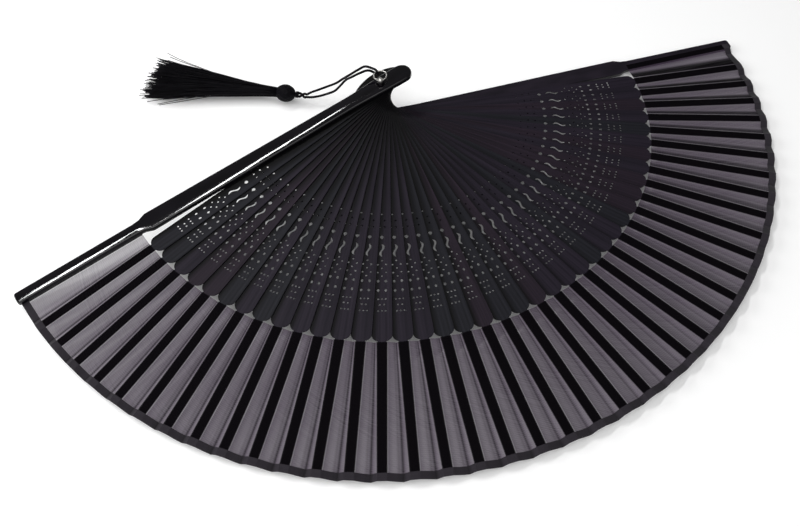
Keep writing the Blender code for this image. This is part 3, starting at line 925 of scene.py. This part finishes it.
# %% guard sizes
GUARD_HALF_WIDTH = 0.0051
GUARD_WAIST_HALF_WIDTH = 0.0040
GUARD_SLIP_HALF_WIDTH = 0.0031
GUARD_SHOULDER = 0.0055
GUARD_ROUND = 0.0009
GUARD_CROWN = 0.00025
GUARD_OVERHANG = 0.0011
GUARD_END = OUTER_RADIUS + GUARD_OVERHANG
GUARD_END_CORNER = 0.0012
GUARD_INNER_EDGE = 0.0002
GUARD_ROUND_STEPS = 6
GUARD_FACE_STEPS = 6
LEAST_HALF_WIDTH = 0.0003
LIP_SHARE = 0.3
ROUND_WIDTH_SHARE = 0.7
ROUND_HEIGHT_SHARE = 0.8
CROWN_SHARE = 0.2


def eased(share):
    """A share from 0 to 1 that starts and ends slowly."""
    share = min(1.0, max(0.0, share))
    return share * share * (3 - 2 * share)


def guard_half_width(x):
    """Half the guard's width at x along it."""
    head = HEAD_LENGTH - GUARD_HALF_WIDTH
    if x < -head:
        return math.sqrt(max(0.0, GUARD_HALF_WIDTH**2 - (x + head) ** 2))
    if x < WAIST_RADIUS:
        share = eased((x + head) / (WAIST_RADIUS + head))
        return mixed(GUARD_HALF_WIDTH, GUARD_WAIST_HALF_WIDTH, share)
    shoulder = RIB_TIP_RADIUS - GUARD_SHOULDER
    if x < shoulder:
        share = (x - WAIST_RADIUS) / (shoulder - WAIST_RADIUS)
        return mixed(GUARD_WAIST_HALF_WIDTH, GUARD_HALF_WIDTH, share)
    width = mixed(GUARD_HALF_WIDTH, GUARD_SLIP_HALF_WIDTH, eased((x - shoulder) / GUARD_SHOULDER))
    past = max(0.0, x - (GUARD_END - GUARD_END_CORNER))
    return width - GUARD_END_CORNER + math.sqrt(max(0.0, GUARD_END_CORNER**2 - past**2))


def guard_section(x):
    """The guard's section at x, as y and z, from its flat inner face round its crowned outer face."""
    half = max(guard_half_width(x), LEAST_HALF_WIDTH)
    edge = max(min(x + HEAD_LENGTH, GUARD_END - x), 0.0)
    dip = GUARD_ROUND - min(edge, GUARD_ROUND)
    top = GUARD_THICKNESS / 2 - GUARD_ROUND + math.sqrt(max(0.0, GUARD_ROUND**2 - dip**2))
    low = -GUARD_THICKNESS / 2
    lip = min(GUARD_INNER_EDGE, LIP_SHARE * half)
    bend = min(GUARD_ROUND, ROUND_WIDTH_SHARE * half, ROUND_HEIGHT_SHARE * (top - low))
    crown = min(GUARD_CROWN, CROWN_SHARE * (top - low))
    right = [(half - lip, low), (half, low + lip)]
    right += arc((half - bend, top - crown - bend), bend, 0.0, math.pi / 2, GUARD_ROUND_STEPS)
    shares = [1 - 2 * i / GUARD_FACE_STEPS for i in range(1, GUARD_FACE_STEPS)]
    face = [((half - bend) * share, top - crown * share**2) for share in shares]
    return right + face + [(-y, z) for y, z in reversed(right)]


# %% guards
HEAD_STATIONS = 16
END_STATIONS = 8
BODY_STATIONS = 60
DRILL_SIDES = 32
DRILL_LENGTH = 0.02
SHARP_EDGE = math.radians(40)

stations = [-HEAD_LENGTH + GUARD_HALF_WIDTH * (i / HEAD_STATIONS) ** 2 for i in range(HEAD_STATIONS)]
body_start, body_end = -HEAD_LENGTH + GUARD_HALF_WIDTH, GUARD_END - GUARD_END_CORNER
stations += [mixed(body_start, body_end, i / BODY_STATIONS) for i in range(BODY_STATIONS)]
stations += [GUARD_END - GUARD_END_CORNER * (1 - i / END_STATIONS) ** 2 for i in range(END_STATIONS + 1)]
sections = [guard_section(x) for x in stations]
guard_points = [Vector((x, y, z)) for x, section in zip(stations, sections) for y, z in section]
guard_faces = ring_faces(len(stations), len(sections[0]))


def drilled(piece, radius, place):
    """Cuts a round hole through a piece, in the piece's own frame, and keeps the result as its mesh."""
    drill = bpy.data.meshes.new("drill")
    shape = bmesh.new()
    sizes = {"radius1": radius, "radius2": radius, "depth": DRILL_LENGTH}
    bmesh.ops.create_cone(shape, cap_ends=True, segments=DRILL_SIDES, matrix=place, **sizes)
    shape.to_mesh(drill)
    shape.free()
    tool = add_object("drill", drill)
    tool.matrix_world = piece.matrix_world
    cut = piece.modifiers.new("hole", "BOOLEAN")
    cut.operation = "DIFFERENCE"
    cut.object = tool
    bpy.context.view_layer.update()
    result = bpy.data.meshes.new_from_object(piece.evaluated_get(bpy.context.evaluated_depsgraph_get()))
    piece.modifiers.clear()
    piece.data = result
    bpy.data.objects.remove(tool)
    result.set_sharp_from_angle(angle=SHARP_EDGE)


for name, k, turn in (("back", 0, math.pi), ("front", FRONT, 0.0)):
    title = f"lacquered_{name}_guard"
    guard = new_piece(title, guard_points, guard_faces, lacquer, "guard_lacquer", f"{name}_guard")
    drilled(guard, HOLE_RADIUS, Matrix.Identity(4))
    guard.matrix_world = stick_place(k) @ Matrix.Rotation(turn, 4, "X")
    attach(guard, name)
print("guard faces:", len(guard.data.polygons))

# %% [markdown]
# ## Gauze
# The leaf is a black gauze of fine, stiffened threads in plain weave. It is see-through: over the white
# table it looks grey, and over a slip it looks black. Real threads are about 0.2 mm apart; the weave is
# drawn at 0.8 mm so that it shows as a fine grain. The weaving and the ironing leave streaks along the
# pleats. A crease doubles the cloth, so it is closer there; its dark line is partly that and partly
# painted shade. Each point of the leaf carries two marks. The fold mark is about 1 where the cloth is
# closer, as on a crease, and where shade is painted, 0 where it is plain, and below 0 where the cover is
# made thinner and paler for painted light and painted highlights. "glued" is 1 on a slip, where glue fills
# the cloth and makes it black. Free cloth is coloured paler and more purple: painted light, standing in for
# the light from the table that shines through its threads.

# %% material: gauze
WEAVE_SPACING = 0.0008
STREAK_WIDTH = 0.0009
STREAK_LENGTH = 0.03
STREAK_COVER = 0.08
CREASE_AND_PAINTED_COVER = 0.30
GLUE_COVER = 0.30

gauze, tree, shader = new_material("stiffened_black_gauze", Roughness=0.8, IOR=1.45, Specular_IOR_Level=0.06)
cloth = add_node(tree, "UVMap", uv_map="weave").outputs["UV"]
warp, weft = (
    add_wave(cloth, WEAVE_SPACING, way, Distortion=0.6, Detail=1.0, Detail_Scale=0.3) for way in "XY"
)
mesh_gap = add_math("MULTIPLY", warp, weft)
body = ranged(mesh_gap, 0.69, 0.61)
streaks = add_noise(stretched(cloth, (1 / STREAK_WIDTH, 1 / STREAK_LENGTH, 1.0)), Detail=1.0)
streak_cover = ranged(streaks, -STREAK_COVER, STREAK_COVER)
# The fold mark carries creases, partly closer cloth and partly painted shade, and also painted shade, painted
# light and painted highlights; above 0 it closes the cover, below 0 it opens it.
mark = add_node(tree, "Attribute", attribute_name="fold_and_painted_light_mark").outputs["Fac"]
glued = add_node(tree, "Attribute", attribute_name="glued").outputs["Fac"]
thread_cover = add_math("ADD", body, streak_cover)
cover_with_painted_marks = add_math("MULTIPLY_ADD", mark, CREASE_AND_PAINTED_COVER, thread_cover)
# Free cloth takes the pale purple end of the colour, painted light from the table shining through its
# threads; slips, creases and painted shade take the black end.
closed_cloth_and_painted_shade = add_math("MAXIMUM", glued, mark)
set_links(
    shader,
    Alpha=add_math("MULTIPLY_ADD", glued, GLUE_COVER, cover_with_painted_marks, use_clamp=True),
    Base_Color=toned(closed_cloth_and_painted_shade, (0.0, "#4c3e51"), (1.0, "#060407")),
    Normal=add_bump(mesh_gap, strength=0.2, distance=WEAVE_SPACING / 12),
)

# %% [markdown]
# ## Pleated leaf
# The leaf is one sheet. On each stick it lies flat on the slip; beside the slip, on the front guard's side,
# it drops into a valley fold and climbs to the next slip. Cloth simulation would round these creases, which
# are ironed in, so the columns are placed one by one. Each column also gets a weight, its stick's share of
# the whole turn, and the weights run on evenly across a free panel; they are not put on the mesh, so the
# leaf doesn't follow the fold. Near the back guard the rising half of each panel gets a closer cover and a
# darker colour: painted shade. The last few panels by the front guard get a thinner cover, so they show
# paler: painted light.

# %% columns of the leaf
LEAF_INSET = 0.0004
LEAF_INNER = RIB_TIP_RADIUS + LEAF_INSET
LEAF_OUTER = 0.1905
LEAF_LIFT = 0.00005
LEAF_MARGIN = 0.00025
TAPE_THICKNESS = 0.00024
PLEAT_DEPTH_INNER = 0.0006
PLEAT_DEPTH_OUTER = 0.0018
VALLEY_INNER = 0.0007
VALLEY_OUTER = 0.0027
CREASE_WIDTH = 0.0011
SECOND_CREASE = 0.27
CREASE_LIMIT = 0.45
THIN_LINE = 0.0003
GLUED = (0.0, 1.0)
# Painted highlights: a thin line just past a slip and one just before the next slip get a thinner cover, so
# they show paler.
PAST_SLIP_HIGHLIGHT = -0.5
BEFORE_SLIP_HIGHLIGHT = -1.2
# A crease's dark line: partly the doubled cloth, partly painted shade.
VALLEY_MARK = 0.85
# Painted shade near the back guard: it darkens the rising half of each panel over this many pleats.
PAINTED_SHADE_PLEATS = 26
# Painted light by the front guard: the last few panels get a thinner cover, so the lit table shows paler
# through them.
PAINTED_LIGHT_PLEATS = 6
PAINTED_LIGHT_MARK = -0.4
PANEL_SAG = 0.00035
SAG_SHARES = (-0.4, 1.0)

sag_dice = random.Random(17)
panel_sag = [PANEL_SAG * sag_dice.uniform(*SAG_SHARES) for k in range(FRONT)]


def outward(along):
    """How far out a radius lies on the leaf, from 0 at its inner edge to 1 at the rim."""
    return (along - LEAF_INNER) / (OUTER_RADIUS - LEAF_INNER)


def painted_shade_share(k):
    """How much painted shade the panel before stick k takes: 1 at the back guard and 0 from some pleats on.
    """
    return max(0.0, 1 - k / PAINTED_SHADE_PLEATS)


def leaf_height(k):
    """Height of the leaf over the middle of stick k."""
    if k == 0:
        return GUARD_THICKNESS / 2 + LEAF_LIFT
    if k == FRONT:
        return -GUARD_THICKNESS / 2 - LEAF_LIFT - TAPE_THICKNESS
    return RIB_THICKNESS / 2 + LEAF_LIFT


def stick_columns(k, along, lift):
    """The leaf on stick k at one radius, from its back guard side to its valley fold, and the marks there."""
    share = outward(along)
    slip = mixed(SLIP_HALF_WIDTH, SLIP_END_HALF_WIDTH, share)
    half = (GUARD_SLIP_HALF_WIDTH if k in (0, FRONT) else slip) + LEAF_MARGIN
    depth = mixed(PLEAT_DEPTH_INNER, PLEAT_DEPTH_OUTER, share)
    fall = mixed(VALLEY_INNER, VALLEY_OUTER, share)
    columns = [(half, 0.0, GLUED), (0.0, 0.0, GLUED), (-half, 0.0, GLUED)]
    crease = min(CREASE_WIDTH, fall - 2 * THIN_LINE)
    valley_mark = VALLEY_MARK * (1 - painted_shade_share(k + 1))
    # Just past the slip a thin line takes a painted highlight, and the valley takes a crease mark.
    for past, mark in ((THIN_LINE, PAST_SLIP_HIGHLIGHT), (fall - crease, 0.0), (fall, valley_mark)):
        columns.append((-half - past, -depth * past / fall, (mark, 0.0)))
    if k == 0:
        columns = columns[1:]
    if k == FRONT:
        columns = columns[:2]
    place = stick_place(k)
    height = leaf_height(k) + lift
    points = [place @ Vector((along, y, height + z)) for y, z, mark in columns]
    return points, [mark for y, z, mark in columns]


def panel_marks(k, crease, thin):
    """Places across the panel before stick k, as shares of its width, each with its fold mark, which holds
    crease, painted shade, painted light and painted highlight.
    """
    # Painted shade near the back guard darkens the rising half of the panel and takes over from the crease
    # marks.
    shade_weight = painted_shade_share(k)
    crease_weight = 1 - shade_weight
    # Painted light: a thinner cover on the last few panels by the front guard.
    plain = PAINTED_LIGHT_MARK * max(0.0, 1 - (FRONT - k) / PAINTED_LIGHT_PLEATS)
    near = min(crease, CREASE_LIMIT * SECOND_CREASE)
    return (
        (near, plain + 0.3 * crease_weight),
        (SECOND_CREASE - near, plain + 0.22 * crease_weight),
        (SECOND_CREASE, plain + 0.28 * crease_weight + 0.3 * shade_weight),
        (SECOND_CREASE + near, plain + 0.8 * shade_weight),
        (0.45, plain - 0.05 + 1.0 * shade_weight),
        (0.6, plain - 0.1 + 1.2 * shade_weight),
        (1 - 2 * thin, plain + 0.1 + 0.9 * shade_weight),
        (1 - thin, BEFORE_SLIP_HIGHLIGHT),
    )


def leaf_row(along, lift=0.0):
    """All points across the leaf at one radius, each one's share of the fold's turn, and its marks."""
    points, turns, marks = [], [], []
    rise = AXIS_TURN.to_3x3() @ Vector((0, 0, 1))
    slack = outward(along)
    for k in range(FRONT + 1):
        columns, column_marks = stick_columns(k, along, lift)
        turn = stick_swing(k) / OPENING
        if k > 0:
            valley, edge = points[-1], columns[0]
            width = (edge - valley).length
            before = stick_swing(k - 1) / OPENING
            for t, mark in panel_marks(k, CREASE_WIDTH / width, THIN_LINE / width):
                sag = panel_sag[k - 1] * 4 * t * (1 - t) * slack
                points.append(valley.lerp(edge, t) - sag * rise)
                turns.append(mixed(before, turn, t))
                marks.append((mark, 0.0))
        points += columns
        turns += [turn] * len(columns)
        marks += column_marks
    return points, turns, marks


print("columns across the leaf:", len(leaf_row(LEAF_INNER)[0]))

# %% the leaf
LEAF_ROWS = 14
PLEAT_EDGE = math.radians(20)


def pleated(name, rows, surface, slot, node, closed):
    """A pleated piece from rows of points. Closed rows go once round a section."""
    width = len(rows[0][0])
    points, turns, marks = ([value for row in rows for value in row[part]] for part in range(3))
    faces = []
    for i in range(len(rows) if closed else len(rows) - 1):
        j = (i + 1) % len(rows)
        for c in range(width - 1):
            faces.append((i * width + c, j * width + c, j * width + c + 1, i * width + c + 1))
    if closed:
        faces.append(tuple(i * width for i in reversed(range(len(rows)))))
        faces.append(tuple(i * width + width - 1 for i in range(len(rows))))
    piece = new_piece(name, points, faces, surface, slot, node)
    layer = piece.data.uv_layers.new(name="weave")
    flat = []
    for i, point in enumerate(points):
        reach = reach + (point - points[i - 1]).length if i % width else 0.0
        flat.append((reach, point.length))
    for loop in piece.data.loops:
        layer.data[loop.index].uv = flat[loop.vertex_index]
    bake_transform(piece)
    for number, title in enumerate(("fold_and_painted_light_mark", "glued")):
        layer = piece.data.attributes.new(title, "FLOAT", "POINT")
        layer.data.foreach_set("value", [mark[number] for mark in marks])
    piece.data.set_sharp_from_angle(angle=PLEAT_EDGE)
    return piece


leaf_rows = [leaf_row(mixed(LEAF_INNER, LEAF_OUTER, i / (LEAF_ROWS - 1))) for i in range(LEAF_ROWS)]
leaf = pleated("pleated_gauze_leaf", leaf_rows, gauze, "leaf_fabric", "leaf", closed=False)

# %% [markdown]
# ## Edge tape
# The rim of the leaf is bound with a narrow woven tape, folded over the raw edge and pressed into the
# pleats. It is opaque, so it shows as a dark band. Its section is a flat loop with a rounded fold at the
# outer edge.

# %% material: tape
TAPE_THREAD = 0.0006

tape_cloth, tree, shader = new_material(
    "woven_black_tape",
    Roughness=0.78,
    IOR=1.5,
    Specular_IOR_Level=0.25,
    Sheen_Weight=0.1,
    Sheen_Roughness=0.5,
)
cloth = add_node(tree, "UVMap", uv_map="weave").outputs["UV"]
cross_threads = add_wave(cloth, TAPE_THREAD, "X", Distortion=1.0, Detail=1.0)
mark = add_node(tree, "Attribute", attribute_name="fold_and_painted_light_mark").outputs["Fac"]
# The tape is darker where the leaf's mark is above 0: painted shade in its creases and near the back guard.
tone_with_painted_shade = add_math("ADD", cross_threads, ranged(mark, 0.0, -0.8))
set_links(
    shader,
    Base_Color=toned(tone_with_painted_shade, (0.0, "#100d12"), (0.25, "#1e1a20"), (1.0, "#2e2931")),
    Normal=add_bump(cross_threads, strength=0.4, distance=TAPE_THREAD / 10),
)

# %% the tape
TAPE_WIDTH = 0.0033

tape_inner = OUTER_RADIUS - TAPE_WIDTH
tape_middle = (tape_inner + OUTER_RADIUS) / 2
tape_fold = OUTER_RADIUS - TAPE_THICKNESS / 2
tape_section = [
    (tape_inner, TAPE_THICKNESS),
    (tape_middle, TAPE_THICKNESS),
    (tape_fold, TAPE_THICKNESS),
    (OUTER_RADIUS, TAPE_THICKNESS / 2),
    (tape_fold, 0.0),
    (tape_middle, 0.0),
    (tape_inner, 0.0),
]
tape_rows = [leaf_row(along, lift - LEAF_LIFT / 2) for along, lift in tape_section]
tape = pleated("folded_rim_tape", tape_rows, tape_cloth, "edge_tape", "leaf_binding", closed=True)
tape_line = tape_rows[1][0]
print("tape length, mm:", round(1000 * sum((b - a).length for a, b in zip(tape_line, tape_line[1:]))))

# %% [markdown]
# ## Nickel-plated steel
# The rivet and the split ring are steel with a bright nickel plate: a slightly warm silver, smooth, with
# fine scratches from handling that blur its reflections. The washer's steel is near black, a painted shadow
# under the ball head, so it hardly shows on the guard. Both finishes share one node layout.

# %% materials: plated steel, and steel painted dark as shadow
SCRATCH_WIDTH = 0.0002


def handled_metal(name, dark, light):
    """A metal with fine scratches."""
    made, tree, shader = new_material(name, Metallic=1.0)
    spot = add_node(tree, "TexCoord").outputs["Object"]
    scratches = add_noise(spot, 1 / SCRATCH_WIDTH, Detail=3.0)
    set_links(
        shader,
        Base_Color=toned(scratches, (0.3, dark), (0.7, light)),
        Roughness=ranged(scratches, 0.25, 0.40),
    )
    return made


nickel = handled_metal("bright_nickel_plate", "#d6d3cf", "#eae8e4")
# Painted shadow: the washer's steel is near black, standing in for the shade under the ball head.
shadow_dark_steel = handled_metal("steel_painted_dark_as_shadow", "#151417", "#242226")

# %% [markdown]
# ## Rivet, washer and ring
# The rivet and the washer are turned pieces, so each is a profile spun about the rivet's axis. The ball
# head has a cross hole, drilled with the same boolean as the guards, and the split wire ring passes through
# it.

# %% turned pieces
SPIN_SIDES = 48
AXIS_RADIUS = 0.00001
PIN_RADIUS = 0.0012
FOOT_RADIUS = 0.0030
FOOT_EDGE = 0.0003
WASHER_RADIUS = 0.0019
WASHER_EDGE = 0.0001
WASHER_CLEARANCE = 0.0001
BALL_STEPS = 20


def spun(profile):
    """Points and faces of a profile spun about z: a solid if it starts on the axis, and a ring if not."""
    points = []
    for radius, z in profile:
        points += [Vector((x, y, z)) for x, y in circle(max(radius, AXIS_RADIUS), SPIN_SIDES)]
    return points, ring_faces(len(profile), SPIN_SIDES, closed=profile[0][0] > 0)


def disc_rim(radius, low, top, edge):
    """The rim of a disc in profile, with both its edges cut off."""
    return [(radius - edge, low), (radius, low + edge), (radius, top - edge), (radius - edge, top)]


ball_low = -math.acos(PIN_RADIUS / BALL_RADIUS)
ball = arc((0.0, BALL_HEIGHT), BALL_RADIUS, ball_low, math.pi / 2, BALL_STEPS)
foot = [(0.0, 0.0), *disc_rim(FOOT_RADIUS, 0.0, FOOT_THICKNESS, FOOT_EDGE), (PIN_RADIUS, FOOT_THICKNESS)]
rivet = new_piece("ball_headed_rivet", *spun(foot + ball), nickel, "steel", "rivet")
wire_bend = RING_RADIUS - math.sqrt(RING_RADIUS**2 - BALL_RADIUS**2)
cross = Matrix.Translation((0, 0, BALL_HEIGHT)) @ Matrix.Rotation(RING_BEARING, 4, "Z")
drilled(rivet, RING_WIRE_RADIUS + wire_bend, cross @ Matrix.Rotation(math.pi / 2, 4, "X"))
rivet.matrix_world = AXIS_TURN
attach(rivet, "back")

washer_hole = PIN_RADIUS + WASHER_CLEARANCE
washer_low, washer_top = WASHER_HEIGHT, WASHER_HEIGHT + WASHER_THICKNESS
washer_rim = disc_rim(WASHER_RADIUS, washer_low, washer_top, WASHER_EDGE)
washer_profile = [(washer_hole, washer_low), *washer_rim, (washer_hole, washer_top)]
washer = new_piece("blackened_washer", *spun(washer_profile), shadow_dark_steel, "steel", "washer")
washer.data.set_sharp_from_angle(angle=SHARP_EDGE)
washer.matrix_world = AXIS_TURN
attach(washer, "back")
print("rivet faces:", len(rivet.data.polygons))

# %% ring
RING_STEPS = 72
WIRE_SIDES = 14

ring_arc = arc((0.0, RING_RADIUS), RING_RADIUS, RING_SPLIT / 2, math.tau - RING_SPLIT / 2, RING_STEPS)
ring_path = [ring_place @ Vector((x, y, 0.0)) for x, y in ring_arc]
ring_tube = tube(ring_path, RING_WIRE_RADIUS, WIRE_SIDES)
ring = new_piece("split_wire_ring", *ring_tube, nickel, "steel", "ring")
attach(ring, "ring")
print("ring points:", len(ring_path))
